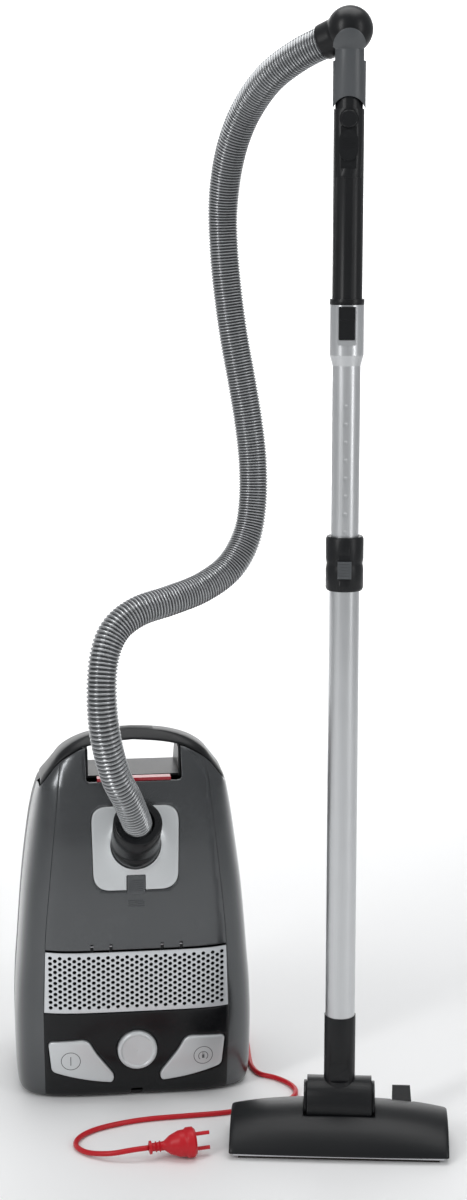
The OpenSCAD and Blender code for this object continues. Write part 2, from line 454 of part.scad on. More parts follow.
module plug() color([0.82,0.10,0.13]) translate([0,-277,15.6]) rotate([0,0,4]) rotate([0,87,0]) {
  rotate_extrude() polygon([[0,0],[4,0],[8,1.2],[8,3.6],[5,4.8],[5,7.8],[6.8,9],[5.2,10.2],[5.2,12.6],[7,13.8],[5.4,15],[5.6,19],[11,26],[15.5,37],[16,44],[18,46.5],[18,54],[15,57],[0,57]]);
  color([0.7,0.7,0.7]) for (s=[-1,1]) translate([s*9.5,0,56]) cylinder(r=2.3, h=18);
}

base_shell();
left_side_cover();
right_side_cover();
control_panel();
exhaust_grille();
front_bumper();
handle_liner();
bulkhead();
lid_pins();
park_feet();
casing_screws();
wheel_wells();
wheel_axles();
motor_can();
motor_core();
motor_mounts();
impeller();
motor_filter();
exhaust_filter();
cord_reel();
wound_cord();
reel_spindle();
circuit_board();
dust_bag();
bag_frame();
lid();
inlet_plate();
lid_latch();
hose_release();
hose_cuff();
power_pedal();
rewind_pedal();
suction_knob();
left_wheel();
right_wheel();
castor_fork();
castor_wheel();
hose();
elbow_ball();
handle_cover();
handle_grip();
regulator_slide();
regulator_cap();
wand_latch();
inner_tube();
telescope_sleeve();
sleeve_release();
outer_tube();
nozzle_neck();
nozzle_housing();
nozzle_cradle();
nozzle_sole();
brush_strips();
nozzle_pedal();
pivot_pins();
rear_rollers();
front_rollers();
strain_relief();
cord();
plug();
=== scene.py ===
import bpy, bmesh, json, math
import numpy as np
from mathutils import Vector, Matrix
from mathutils.geometry import delaunay_2d_cdt

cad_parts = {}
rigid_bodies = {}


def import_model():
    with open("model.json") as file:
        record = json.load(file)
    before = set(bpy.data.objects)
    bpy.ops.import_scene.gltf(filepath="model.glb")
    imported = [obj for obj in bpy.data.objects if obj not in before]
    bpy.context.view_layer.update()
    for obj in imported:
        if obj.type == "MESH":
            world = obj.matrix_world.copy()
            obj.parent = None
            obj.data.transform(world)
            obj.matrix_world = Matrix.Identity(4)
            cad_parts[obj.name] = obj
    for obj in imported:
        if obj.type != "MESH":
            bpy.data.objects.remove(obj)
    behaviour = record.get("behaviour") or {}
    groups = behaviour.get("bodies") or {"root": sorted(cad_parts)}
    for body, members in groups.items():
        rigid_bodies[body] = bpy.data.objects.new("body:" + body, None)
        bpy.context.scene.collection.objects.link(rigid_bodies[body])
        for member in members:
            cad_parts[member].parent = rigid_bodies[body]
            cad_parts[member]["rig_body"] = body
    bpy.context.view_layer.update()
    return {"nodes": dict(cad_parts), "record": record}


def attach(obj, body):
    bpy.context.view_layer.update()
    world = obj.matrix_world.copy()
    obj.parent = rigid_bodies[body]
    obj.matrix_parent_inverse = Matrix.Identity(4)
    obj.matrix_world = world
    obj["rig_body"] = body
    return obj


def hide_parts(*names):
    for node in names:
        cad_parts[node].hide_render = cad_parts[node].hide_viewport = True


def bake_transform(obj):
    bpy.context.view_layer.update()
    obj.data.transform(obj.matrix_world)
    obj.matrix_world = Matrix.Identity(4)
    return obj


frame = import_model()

scene = bpy.context.scene
nodes = frame["nodes"]

# ---------------------------------------------------------------- camera, light, floor
cam_data = bpy.data.cameras.new("camera")
cam_data.lens = 61.4
cam_data.sensor_width = 36
cam = bpy.data.objects.new("camera", cam_data)
cam.location = (-0.1768, -2.5475, 1.1)
cam.rotation_euler = (math.radians(90 - 10.5), 0, math.radians(-7))
scene.collection.objects.link(cam)
scene.camera = cam
scene.view_settings.view_transform = "Standard"

world = bpy.data.worlds.new("studio")
scene.world = world
world.use_nodes = True
world.node_tree.nodes["Background"].inputs[0].default_value = (0.93, 0.95, 0.97, 1)
world.node_tree.nodes["Background"].inputs[1].default_value = 0.42


def area(name, loc, target, size, power, color=(1, 1, 1)):
    d = bpy.data.lights.new(name, "AREA")
    d.shape = "RECTANGLE"
    d.size, d.size_y = size
    d.energy = power
    d.color = color
    o = bpy.data.objects.new(name, d)
    o.location = loc
    o.rotation_euler = (Vector(target) - Vector(loc)).to_track_quat("-Z", "Y").to_euler()
    scene.collection.objects.link(o)
    return o


area("key_left", (-1.9, -1.7, 1.9), (0, 0, 0.45), (0.35, 2.0), 26)
area("fill_right", (1.9, -1.9, 1.4), (0.1, 0, 0.4), (0.30, 2.2), 13)
area("top_soft", (0.2, 0.1, 3.0), (0.1, -0.1, 0), (2.2, 1.6), 31)
area("back_wall", (0.2, 2.9, 3.3), (0.2, 5.8, 0.9), (4.5, 2.0), 230)


# ---------------------------------------------------------------- helpers
def new_obj(name, verts, faces, smooth=True):
    me = bpy.data.meshes.new(name)
    me.from_pydata([tuple(v) for v in verts], [], [tuple(f) for f in faces])
    me.validate()
    bm = bmesh.new()
    bm.from_mesh(me)
    bmesh.ops.remove_doubles(bm, verts=bm.verts, dist=1e-7)
    bmesh.ops.recalc_face_normals(bm, faces=bm.faces)
    bm.to_mesh(me)
    bm.free()
    if smooth:
        me.polygons.foreach_set("use_smooth", [True] * len(me.polygons))
        me.update()
    o = bpy.data.objects.new(name, me)
    scene.collection.objects.link(o)
    return o


def auto_smooth(o, angle=35):
    """Sharp edges above the angle, as split normals."""
    me = o.data
    bm = bmesh.new()
    bm.from_mesh(me)
    lim = math.radians(angle)
    for e in bm.edges:
        if len(e.link_faces) == 2:
            e.smooth = e.calc_face_angle(0) < lim
    bm.to_mesh(me)
    bm.free()
    me.polygons.foreach_set("use_smooth", [True] * len(me.polygons))
    me.update()
    return o


def apply_mods(o):
    bpy.context.view_layer.update()
    dg = bpy.context.evaluated_depsgraph_get()
    ev = o.evaluated_get(dg)
    me = bpy.data.meshes.new_from_object(ev)
    o.modifiers.clear()
    old = o.data
    o.data = me
    bpy.data.meshes.remove(old)
    return o


def bevel(o, w, seg=2, angle=40):
    m = o.modifiers.new("bevel", "BEVEL")
    m.width = w
    m.segments = seg
    m.limit_method = "ANGLE"
    m.angle_limit = math.radians(angle)
    m.use_clamp_overlap = True
    return apply_mods(o)


def boolean(o, cutter, op="DIFFERENCE"):
    m = o.modifiers.new("b", "BOOLEAN")
    m.operation = op
    m.object = cutter
    m.solver = "EXACT"
    before = len(o.data.polygons)
    apply_mods(o)
    bpy.data.objects.remove(cutter)
    if len(o.data.polygons) < 0.3 * before:
        raise RuntimeError("a boolean emptied " + o.name)
    return o


def join(name, objs):
    """Several meshes as one object."""
    bm = bmesh.new()
    for o in objs:
        t = o.data.copy()
        t.transform(o.matrix_world)
        bm.from_mesh(t)
        bpy.data.meshes.remove(t)
    me = bpy.data.meshes.new(name)
    bm.to_mesh(me)
    bm.free()
    r = bpy.data.objects.new(name, me)
    scene.collection.objects.link(r)
    for o in objs:
        bpy.data.objects.remove(o)
    return r


def lathe(name, prof, seg=96, frame_m=None, closed=True):
    """Profile of (radius, height) in mm turned about Z; frame_m places it."""
    n = len(prof)
    V, F = [], []
    for k in range(seg):
        a = 2 * math.pi * k / seg
        for r, z in prof:
            V.append((r * math.cos(a) / 1000, r * math.sin(a) / 1000, z / 1000))
    for k in range(seg):
        k2 = (k + 1) % seg
        for i in range(n if closed else n - 1):
            j = (i + 1) % n
            F.append((k * n + i, k2 * n + i, k2 * n + j, k * n + j))
    if frame_m is not None:
        V = [tuple(frame_m @ Vector(v)) for v in V]
    return auto_smooth(new_obj(name, V, F), 32)


def rounded(prof, r=0.8, seg=3):
    """Round the corners of a closed (r, z) profile in mm."""
    out = []
    n = len(prof)
    for i in range(n):
        p0, p, p1 = (np.array(prof[(i + k) % n], float) for k in (-1, 0, 1))
        a, b = p0 - p, p1 - p
        la, lb = np.linalg.norm(a), np.linalg.norm(b)
        if p[0] < 0.01 or la < 1e-6 or lb < 1e-6:
            out.append(tuple(p))
            continue
        d = min(r, la * 0.45, lb * 0.45)
        A, B = p + a / la * d, p + b / lb * d
        for s in range(seg + 1):
            t = s / seg
            out.append(tuple((1 - t) ** 2 * A + 2 * t * (1 - t) * p + t * t * B))
    return out


# ---------------------------------------------------------------- canister surface, as in the CAD
WT = [[0,143],[4,147.5],[10,149.5],[43,151.5],[88,152],[135,150.5],[179,147],[223,143.5],[268,139.4],[312,134],
      [357,127.7],[385,122.8],[413,116],[428,107],[439,99],[450,91],[459,79],[466,64],[470,50],[473,34],[475,14]]
FT = [[0,88],[4,93],[8,96],[20,100],[60,107],[117,112],[200,115],[260,115],[330,112],[380,106],[413,99],[440,89],
      [455,80],[465,70],[475,58]]
BT = [[0,86],[8,92],[30,95],[60,96],[300,96],[335,90],[365,68],[395,34],[415,4],[430,-14],[450,-27],[475,-40]]
YC = [[0,0],[330,0],[365,-8],[395,-26],[415,-42],[430,-49],[475,-50]]
XC = [[0,116],[120,117],[210,114],[300,106],[445,91],[480,88]]
BEND = [[0,463],[30,461],[60,456],[80,447],[95,436],[107,421],[114,411],[118,405],[160,397]]
TOP = [[0,475],[20,474],[40,472],[54,469],[66,465],[78,459],[91,449],[99,439],[107,428],[113,419],[116,412]]


def smooth_table(T, n=3):
    """Monotone cubic (Fritsch-Carlson) through the table, sampled densely."""
    x = np.array([p[0] for p in T], float)
    y = np.array([p[1] for p in T], float)
    h = np.diff(x)
    d = np.diff(y) / h
    m = np.zeros(len(x))
    m[0], m[-1] = d[0], d[-1]
    for i in range(1, len(x) - 1):
        if d[i - 1] * d[i] <= 0:
            m[i] = 0
        else:
            w1, w2 = 2 * h[i] + h[i - 1], h[i] + 2 * h[i - 1]
            m[i] = (w1 + w2) / (w1 / d[i - 1] + w2 / d[i])

    def f(v):
        v = np.clip(np.asarray(v, float), x[0], x[-1])
        i = np.clip(np.searchsorted(x, v) - 1, 0, len(h) - 1)
        t = (v - x[i]) / h[i]
        return ((2 * t**3 - 3 * t**2 + 1) * y[i] + (t**3 - 2 * t**2 + t) * h[i] * m[i]
                + (-2 * t**3 + 3 * t**2) * y[i + 1] + (t**3 - t**2) * h[i] * m[i + 1])
    return f


fW, fF, fB, fC, fX, fBend, fTop = (smooth_table(T) for T in (WT, FT, BT, YC, XC, BEND, TOP))


def YF(x, z, o=0.0):
    w = fW(z) - o
    yc, yf = fC(z), -fF(z) + o
    q = np.minimum(1, np.abs(x) / w)
    return yc + (yf - yc) * np.maximum(0, 1 - q**4.5) ** (1 / 4.5)


def YBK(x, z, o=0.0):
    w = fW(z) - o
    yc, yb = fC(z), fB(z) - o
    q = np.minimum(1, np.abs(x) / w)
    return yc + (yb - yc) * np.maximum(0, 1 - q**6) ** (1 / 6)


def sheet_from_grids(name, A, B):
    """Closed thin shell between outer grid A and inner grid B, both rows x cols x 3, in mm."""
    r, c, _ = A.shape
    V = np.concatenate([A.reshape(-1, 3), B.reshape(-1, 3)]) / 1000
    o = r * c
    F = []
    for i in range(r - 1):
        for j in range(c - 1):
            a = i * c + j
            F.append((a, a + 1, a + c + 1, a + c))
            F.append((o + a, o + a + c, o + a + c + 1, o + a + 1))
    for j in range(c - 1):
        F.append((j, o + j, o + j + 1, j + 1))
        a = (r - 1) * c + j
        F.append((a, a + 1, o + a + 1, o + a))
    for i in range(r - 1):
        a = i * c
        F.append((a, a + c, o + a + c, o + a))
        b = a + c - 1
        F.append((b, o + b, o + b + c, b + c))
    return new_obj(name, V, F)


# ---------------------------------------------------------------- pieces cut from a flat outline and laid on the front surface
def circle(cx, cz, r, n=64, cw=False):
    a = np.linspace(0, 2 * np.pi, n, endpoint=False)
    if cw:
        a = -a
    return np.stack([cx + r * np.cos(a), cz + r * np.sin(a)], 1)


def densify(pts, step):
    out = []
    n = len(pts)
    for i in range(n):
        p, q = np.array(pts[i], float), np.array(pts[(i + 1) % n], float)
        k = max(1, int(round(np.linalg.norm(q - p) / step)))
        for s in range(k):
            out.append(p + (q - p) * s / k)
    return np.array(out)


def round_outline(pts, r, seg=6):
    out = []
    n = len(pts)
    rr = r if hasattr(r, "__len__") else [r] * n
    for i in range(n):
        p0, p, p1 = (np.array(pts[(i + k) % n], float) for k in (-1, 0, 1))
        a, b = p0 - p, p1 - p
        la, lb = np.linalg.norm(a), np.linalg.norm(b)
        d = min(rr[i], la * 0.48, lb * 0.48)
        A, B = p + a / la * d, p + b / lb * d
        for s in range(seg + 1):
            t = s / seg
            out.append((1 - t) ** 2 * A + 2 * t * (1 - t) * p + t * t * B)
    return np.array(out)


def inside(poly, pts):
    x, z = pts[:, 0], pts[:, 1]
    r = np.zeros(len(pts), bool)
    n = len(poly)
    for i in range(n):
        x1, z1 = poly[i]
        x2, z2 = poly[(i + 1) % n]
        c = (z1 > z) != (z2 > z)
        with np.errstate(divide="ignore", invalid="ignore"):
            r ^= c & (x < (x2 - x1) * (z - z1) / (z2 - z1 + 1e-30) + x1)
    return r


def area2(p):
    x, z = p[:, 0], p[:, 1]
    return 0.5 * np.sum(x * np.roll(z, -1) - np.roll(x, -1) * z)


def front_piece(name, outer, holes, th, proud=0.0, edge=0.8, grid=6.0, surf=None, back=None, hole_edge=None):
    """Plate with rounded edges. outer and holes are closed outlines in (x, z); surf gives y of the face."""
    surf = surf or (lambda x, z: YF(x, z))
    back = back or (lambda x, z: surf(x, z) + th)
    hole_edge = edge if hole_edge is None else hole_edge
    loops = []
    for k, lp in enumerate([outer] + list(holes)):
        lp = np.array(lp, float)
        a = area2(lp)
        if (k == 0 and a < 0) or (k > 0 and a > 0):
            lp = lp[::-1]
        loops.append(lp)
    P, D, E, ring0 = [], [], [], []
    base = 0
    for k, lp in enumerate(loops):
        e = edge if k == 0 else hole_edge
        t = np.roll(lp, -1, 0) - np.roll(lp, 1, 0)
        t /= np.maximum(1e-9, np.linalg.norm(t, axis=1))[:, None]
        nrm = np.stack([-t[:, 1], t[:, 0]], 1)
        steps = [(0, e), (0.3 * e, 0.3 * e), (e, 0)] if e > 0 else [(0, 0)]
        for s, (ins, dep) in enumerate(steps):
            P.append(lp + nrm * ins)
            D.append(np.full(len(lp), dep))
            idx = np.arange(base, base + len(lp))
            E += list(zip(idx.tolist(), np.roll(idx, -1).tolist()))
            if s == 0:
                ring0.append(idx)
            base += len(lp)
    P = np.concatenate(P)
    D = np.concatenate(D)
    lo, hi = loops[0].min(0), loops[0].max(0)
    gx = np.arange(lo[0] + grid / 2, hi[0], grid)
    gz = np.arange(lo[1] + grid / 2, hi[1], grid)
    G = np.stack(np.meshgrid(gx, gz), -1).reshape(-1, 2)
    if len(G):
        ok = inside(loops[0], G)
        for h in loops[1:]:
            ok &= ~inside(h, G)
        G = G[ok]
        if len(G):
            mind = np.full(len(G), 1e9)
            for s in range(0, len(P), 400):
                d = np.linalg.norm(G[:, None, :] - P[None, s:s + 400, :], axis=2).min(1)
                mind = np.minimum(mind, d)
            G = G[mind > grid * 0.45]
    allp = np.concatenate([P, G]) if len(G) else P
    alld = np.concatenate([D, np.zeros(len(G))]) if len(G) else D
    vs, es, fs, ov, oe, of_ = delaunay_2d_cdt([Vector((float(a), float(b))) for a, b in allp], E, [], 0, 1e-5)
    V2 = np.array([[v.x, v.y] for v in vs])
    dep = np.array([alld[o[0]] if o else 0.0 for o in ov])
    T = np.array([f for f in fs if len(f) == 3])
    cen = V2[T].mean(1)
    ok = inside(loops[0], cen)
    for h in loops[1:]:
        ok &= ~inside(h, cen)
    T = T[ok]
    n = len(V2)
    yf = surf(V2[:, 0], V2[:, 1]) - proud + dep
    yb = back(V2[:, 0], V2[:, 1])
    V = np.concatenate([np.stack([V2[:, 0], yf, V2[:, 1]], 1), np.stack([V2[:, 0], yb, V2[:, 1]], 1)]) / 1000
    F = [tuple(t) for t in T] + [tuple(int(n + i) for i in t[::-1]) for t in T]
    back_of = {}
    for new_i, o in enumerate(ov):
        for q in o:
            back_of[q] = new_i
    for idx in ring0:
        m = len(idx)
        for i in range(m):
            a, b = back_of[int(idx[i])], back_of[int(idx[(i + 1) % m])]
            if a != b:
                F.append((a, b, n + b, n + a))
    return auto_smooth(new_obj(name, V, F), 50)


# ---------------------------------------------------------------- materials
def material(name, color, rough=0.4, metal=0.0, coat=0.0, bump=0.0, scale=400.0, vary=0.12, spec=0.5, stretch=None,
             rough_vary=0.08, coat_rough=0.1, sheen=0.0, detail=3.0):
    m = bpy.data.materials.new(name)
    m.use_nodes = True
    nt = m.node_tree
    b = nt.nodes["Principled BSDF"]
    b.inputs["Metallic"].default_value = metal
    b.inputs["Coat Weight"].default_value = coat
    b.inputs["Coat Roughness"].default_value = coat_rough
    b.inputs["Specular IOR Level"].default_value = spec
    b.inputs["Sheen Weight"].default_value = sheen
    tc = nt.nodes.new("ShaderNodeTexCoord")
    mp = nt.nodes.new("ShaderNodeMapping")
    nt.links.new(tc.outputs["Object"], mp.inputs[0])
    if stretch:
        mp.inputs["Scale"].default_value = stretch
    n1 = nt.nodes.new("ShaderNodeTexNoise")
    n1.inputs["Scale"].default_value = scale
    n1.inputs["Detail"].default_value = detail
    nt.links.new(mp.outputs[0], n1.inputs["Vector"])
    n2 = nt.nodes.new("ShaderNodeTexNoise")
    n2.inputs["Scale"].default_value = 9.0
    n2.inputs["Detail"].default_value = 4.0
    nt.links.new(tc.outputs["Object"], n2.inputs["Vector"])
    mix = nt.nodes.new("ShaderNodeMath")
    mix.operation = "MULTIPLY_ADD"
    nt.links.new(n1.outputs["Fac"], mix.inputs[0])
    mix.inputs[1].default_value = 0.6
    nt.links.new(n2.outputs["Fac"], mix.inputs[2])
    cr = nt.nodes.new("ShaderNodeValToRGB")
    c = np.array(color)
    cr.color_ramp.elements[0].position = 0.45
    cr.color_ramp.elements[1].position = 1.0
    cr.color_ramp.elements[0].color = (*np.clip(c * (1 - vary), 0, 1), 1)
    cr.color_ramp.elements[1].color = (*np.clip(c * (1 + vary), 0, 1), 1)
    nt.links.new(mix.outputs[0], cr.inputs[0])
    nt.links.new(cr.outputs[0], b.inputs["Base Color"])
    mr = nt.nodes.new("ShaderNodeMapRange")
    mr.inputs["From Min"].default_value = 0.3
    mr.inputs["From Max"].default_value = 1.3
    mr.inputs["To Min"].default_value = max(0.02, rough - rough_vary)
    mr.inputs["To Max"].default_value = rough + rough_vary
    nt.links.new(mix.outputs[0], mr.inputs[0])
    nt.links.new(mr.outputs[0], b.inputs["Roughness"])
    if bump > 0:
        bp = nt.nodes.new("ShaderNodeBump")
        bp.inputs["Strength"].default_value = bump
        bp.inputs["Distance"].default_value = 0.0004
        nt.links.new(n1.outputs["Fac"], bp.inputs["Height"])
        nt.links.new(bp.outputs[0], b.inputs["Normal"])
    return m


M = {
    "black_shell": material("moulded_black", (0.010, 0.0105, 0.012), 0.36, bump=0.18, scale=1400, spec=0.30),
    "grey_metallic": material("metallic_grey", (0.100, 0.104, 0.108), 0.25, metal=0.85, coat=0.22, bump=0.04, scale=2600, vary=0.10, coat_rough=0.12),
    "panel_black": material("satin_black", (0.005, 0.0055, 0.0065), 0.25, bump=0.05, scale=1500, coat=0.04, spec=0.28),
    "silver_plastic": material("silver_lacquer", (0.62, 0.64, 0.65), 0.32, metal=0.35, coat=0.25, bump=0.03, scale=2400, vary=0.05),
    "grille_silver": material("silver_grille", (0.66, 0.68, 0.70), 0.34, metal=0.30, coat=0.15, bump=0.05, scale=1800, vary=0.05),
    "wand_black": material("wand_black", (0.007, 0.0075, 0.0085), 0.34, bump=0.12, scale=1500, spec=0.30),
    "cover_grey": material("cover_grey", (0.075, 0.080, 0.085), 0.36, bump=0.08, scale=1500),
    "rubber": material("rubber", (0.012, 0.012, 0.0125), 0.62, bump=0.3, scale=900, spec=0.35),
    "steel": material("steel", (0.50, 0.50, 0.52), 0.28, metal=1.0, bump=0.05, scale=700, stretch=(1, 1, 0.05)),
    "tube_aluminium": material("anodised_tube", (0.60, 0.61, 0.62), 0.33, metal=0.88, bump=0.05, scale=900, stretch=(1, 1, 0.02), vary=0.05),
    "hose_grey": material("hose_silver", (0.43, 0.44, 0.45), 0.25, metal=0.72, coat=0.15, bump=0.05, scale=900, vary=0.08),
    "red_plastic": material("red_gloss", (0.33, 0.006, 0.018), 0.28, coat=0.3, bump=0.04, scale=1200),
    "red_cord": material("red_pvc", (0.50, 0.010, 0.018), 0.36, bump=0.12, scale=1300, vary=0.10, spec=0.32),
    "copper": material("copper_winding", (0.45, 0.20, 0.08), 0.35, metal=0.9, bump=0.4, scale=500, stretch=(1, 1, 6)),
    "filter_white": material("fleece", (0.62, 0.62, 0.58), 0.9, bump=0.8, scale=900, sheen=0.2),
    "filter_grey": material("foam", (0.035, 0.036, 0.040), 0.95, bump=1.0, scale=700),
    "board_green": material("board", (0.02, 0.12, 0.05), 0.4, bump=0.2, scale=500),
    "bag_paper": material("bag_fleece", (0.55, 0.52, 0.44), 0.9, bump=0.8, scale=800, sheen=0.2),
    "bristle": material("bristles", (0.022, 0.017, 0.014), 0.75, bump=1.0, scale=900, stretch=(1, 1, 0.05)),
    # painted shade: dark grey standing in for the shade inside engraved icon lines
    "engrave": material("icon_painted_groove_shade", (0.11, 0.115, 0.12), 0.45, metal=0.2, bump=0.05, scale=1500),
    # painted shade: near-black for sheets set behind holes and gaps where only shade shows
    "hole_shade": material("painted_hole_shade_black", (0.004, 0.004, 0.004), 0.8, bump=0.2, scale=900),
}
for s in frame["record"]["subparts"]:
    o = nodes.get(s["node"])
    if o is None:
        continue
    m = M[s["material_slot"]]
    if o.data.materials:
        for ms in o.material_slots:
            ms.link = "OBJECT"
            ms.material = m
    else:
        o.data.materials.append(None)
        o.material_slots[0].link = "OBJECT"
        o.material_slots[0].material = m


def put(o, body, slot_name, *replaced, mat=None):
    o.data.materials.clear()
    o.data.materials.append(M[mat or slot_name])
    if replaced:
        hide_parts(*replaced)
    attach(o, body)
    return o


# ---------------------------------------------------------------- hose and mains cord
def cr_point(a, b, c, d, s):
    return 0.5 * ((2 * b) + (c - a) * s + (2 * a - 5 * b + 4 * c - d) * s * s + (3 * b - a - 3 * c + d) * s * s * s)


def curve_points(P, n):
    P = [np.array(p, float) for p in P]
    out = []
    for i in range(len(P) - 1):
        for k in range(n):
            out.append(cr_point(P[max(0, i - 1)], P[i], P[i + 1], P[min(len(P) - 1, i + 2)], k / n))
    out.append(P[-1])
    return np.array(out)


def resample(C, count=None, step=None):
    seg = np.linalg.norm(np.diff(C, axis=0), axis=1)
    s = np.concatenate([[0], np.cumsum(seg)])
    count = count or int(round(s[-1] / step)) + 1
    q = np.linspace(0, s[-1], count)
    return np.stack([np.interp(q, s, C[:, k]) for k in range(3)], 1), s[-1]


def smooth_path(C, it):
    C = C.copy()
    for _ in range(it):
        C[1:-1] = 0.25 * C[:-2] + 0.5 * C[1:-1] + 0.25 * C[2:]
    return C


def tube(name, C, radius, seg=24):
    """Mesh tube along C (mm) with a radius at each ring (mm), frames carried without twist."""
    n = len(C)
    T = np.gradient(C, axis=0)
    T /= np.linalg.norm(T, axis=1)[:, None]
    u = np.cross(T[0], [0, 0, 1.0] if abs(T[0][2]) < 0.9 else [0, 1.0, 0])
    u /= np.linalg.norm(u)
    a = np.linspace(0, 2 * np.pi, seg, endpoint=False)
    V = np.zeros((n, seg, 3))
    for i in range(n):
        u = u - T[i] * np.dot(u, T[i])
        u /= np.linalg.norm(u)
        v = np.cross(T[i], u)
        V[i] = C[i] + radius[i] * (np.cos(a)[:, None] * u + np.sin(a)[:, None] * v)
    F = []
    for i in range(n - 1):
        for k in range(seg):
            k2 = (k + 1) % seg
            F.append((i * seg + k, i * seg + k2, (i + 1) * seg + k2, (i + 1) * seg + k))
    F.append(tuple(range(seg - 1, -1, -1)))
    F.append(tuple((n - 1) * seg + k for k in range(seg)))
    return new_obj(name, V.reshape(-1, 3) / 1000, F)


HOSE = [[0,-137,366],[0,-148,375.3],[-4,-163,389],[-15,-187,420],[-30,-207,455],[-42,-220,505],[-46,-222,555],[-42,-214,600],[-28,-201,630],
        [0,-186,648],[40,-168,657],[80,-148,668],[115,-128,688],[137,-113,720],[146,-105,760],[147,-101,810],[142,-99,860],[134,-97,910],
        [125,-96,960],[118,-95,1010],[113,-96,1060],[111,-99,1110],[114,-110,1155],[122,-126,1195],[136,-146,1230],
        [157,-176,1261],[187,-204,1284],[212,-223,1296]]
HC, _ = resample(curve_points(HOSE, 24), step=0.62)
HC = smooth_path(HC, 60)
HC, hose_len = resample(HC, step=0.62)
sarc = np.linspace(0, hose_len, len(HC))
pitch = 5.2 - 1.7 * np.clip((sarc - 180) / 260, 0, 1)
phase = np.cumsum(np.concatenate([[0], np.diff(sarc) / pitch[1:]])) * 2 * np.pi
wave = 0.5 + 0.5 * np.cos(phase)
hose_obj = tube("corrugated_hose", HC, 15.7 + 2.8 * wave**0.65, 32)
hose_obj.data.materials.append(M["hose_grey"])
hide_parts("hose")
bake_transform(hose_obj)
# painted shade: the grooves between the ridges are darkened with a second colour painted on the mesh's own vertices
att = hose_obj.data.color_attributes.new("groove_shade", "FLOAT_COLOR", "POINT")
axis_pts = HC / 1000
co = np.empty(len(hose_obj.data.vertices) * 3)
hose_obj.data.vertices.foreach_get("co", co)
co = co.reshape(-1, 3)
ring_of = np.empty(len(co), int)
for a in range(0, len(co), 4000):
    ring_of[a:a + 4000] = np.argmin(((co[a:a + 4000, None, :] - axis_pts[None, ::1, :]) ** 2).sum(2), axis=1)
# painted shade mask: 1 on the ridges, falling to 0 in the grooves
g = np.clip(wave[ring_of] ** 0.8, 0, 1)
att.data.foreach_set("color", np.stack([g, g, g, np.ones_like(g)], 1).ravel())
hm = M["hose_grey"].copy()
hm.name = "hose_silver_painted_shade"
nt = hm.node_tree
b = nt.nodes["Principled BSDF"]
old = b.inputs["Base Color"].links[0].from_socket
at = nt.nodes.new("ShaderNodeAttribute")
at.attribute_name = "groove_shade"
mx = nt.nodes.new("ShaderNodeMix")
mx.data_type = "RGBA"
nt.links.new(at.outputs["Fac"], mx.inputs[0])
# dark grey painted into the grooves as shade
mx.inputs[6].default_value = (0.055, 0.057, 0.060, 1)
nt.links.new(old, mx.inputs[7])
nt.links.new(mx.outputs[2], b.inputs["Base Color"])
hose_obj.data.materials.clear()
hose_obj.data.materials.append(hm)

CORD = [[80,118.2,38],[80,127,38],[80,138,32],[81,149,22],[84,159,10.5],[90,168,4.4],[101,175,3.4],[116,177,3.4],[132,171,3.4],[146,158,3.4],
        [155,140,3.4],[160,115,3.4],[162,80,3.4],[160,40,3.4],[157,0,3.4],[157,-28,3.4],[164,-52,3.4],[182,-66,3.4],[197,-86,3.4],[203,-108,3.4],
        [197,-128,3.4],[182,-142,3.4],[160,-151,3.4],[130,-159,3.4],[98,-165,3.4],[50,-168,3.4],[10,-171,3.4],[-25,-179,3.4],[-58,-193,3.4],
        [-79,-213,3.4],[-84,-236,3.4],[-71,-258,4.6],[-45,-274,9.5],[-18,-278.3,14.7],[0,-277,15.6]]
CC, _ = resample(curve_points(CORD, 16), step=2.0)
CC = smooth_path(CC, 6)
CC, cord_len = resample(CC, step=2.0)
cord_obj = tube("mains_cord", CC, np.full(len(CC), 3.2), 16)
put(cord_obj, "canister", "red_cord", "cord")

# ---------------------------------------------------------------- canister shells
ts_side = np.array([1, 0.98, 0.94, 0.88, 0.8, 0.72, 0.64, 0.56, 0.48, 0.4, 0.33, 0.26, 0.2, 0.15, 0.11, 0.08, 0.055, 0.036, 0.022, 0.012, 0.006, 0.002, 0.0005, 0.00005, 0.000002])


def S_pt(t, z, o=0.0):
    """t in radians, z in mm arrays of the same shape."""
    w = fW(z) - o
    yc, yf, yb = fC(z), -fF(z) + o, fB(z) - o
    c, s = np.cos(t), np.sin(t)
    x = w * np.sign(c) * np.abs(c) ** (2 / 4.5)
    y = np.where(s < 0, yc + (yf - yc) * np.abs(s) ** (2 / 4.5), yc + (yb - yc) * np.abs(s) ** (2 / 6))
    return np.stack([x, y, z], -1)


def arc_top(xfun, g=0.4):
    """Height at which a column x(z) meets the bumper's lower edge."""
    z = 440.0
    for _ in range(60):
        z = 0.5 * z + 0.5 * (float(fBend(abs(xfun(z)))) - g)
    return z


def side_cover(sgn):
    rows = np.concatenate([[0, 0.001, 0.004, 0.009, 0.017], np.linspace(0.03, 0.985, 90), [0.994, 1]])
    A = np.zeros((len(rows), len(ts_side), 3))
    B = np.zeros_like(A)
    for j, k in enumerate(ts_side):
        def tt(z):
            return -math.acos(min(1, (float(fX(z)) + 0.0) / float(fW(z))) ** 2.25) * k
        def xx(z):
            return float(fW(z)) * abs(math.cos(tt(z))) ** (2 / 4.5)
        zt = arc_top(xx)
        z = 4 + (zt - 4) * rows
        t = np.array([tt(v) for v in z])
        A[:, j] = S_pt(t, z)
        B[:, j] = S_pt(t, z, 3.0)
    A[:, :, 0] *= sgn
    B[:, :, 0] *= sgn
    o = sheet_from_grids("left_side_cover_v" if sgn < 0 else "right_side_cover_v", A, B)
    return auto_smooth(bevel(o, 0.0009, 2, 50), 40)


put(side_cover(-1), "canister", "grey_metallic", "left_side_cover")
put(side_cover(1), "canister", "grey_metallic", "right_side_cover")


